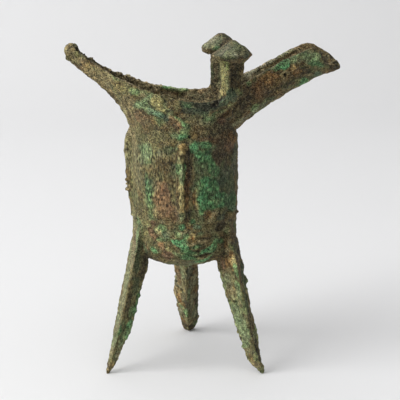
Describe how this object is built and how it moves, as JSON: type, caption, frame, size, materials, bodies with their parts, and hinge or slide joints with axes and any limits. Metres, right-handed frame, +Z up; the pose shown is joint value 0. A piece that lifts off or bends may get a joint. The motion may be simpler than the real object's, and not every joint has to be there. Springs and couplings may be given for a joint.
{
  "type": "bronze jue vessel",
  "caption": "Ancient bronze wine cup on slender splayed legs, with a long channel spout, a pointed tail, capped posts on the rim and a strap handle.",
  "frame": {"origin": "centre of the bounding box in plan, at the level of the feet", "axes": "+X along the spout and away from the tail, +Y from the mask's nose ridge to the handle, +Z up"},
  "size_m": [0.1562, 0.0876, 0.19],
  "materials": {
    "bronze": "corroded, with malachite patches"
  },
  "bodies": {
    "root": {"jue_vessel": "bronze"}
  },
  "joints": []
}
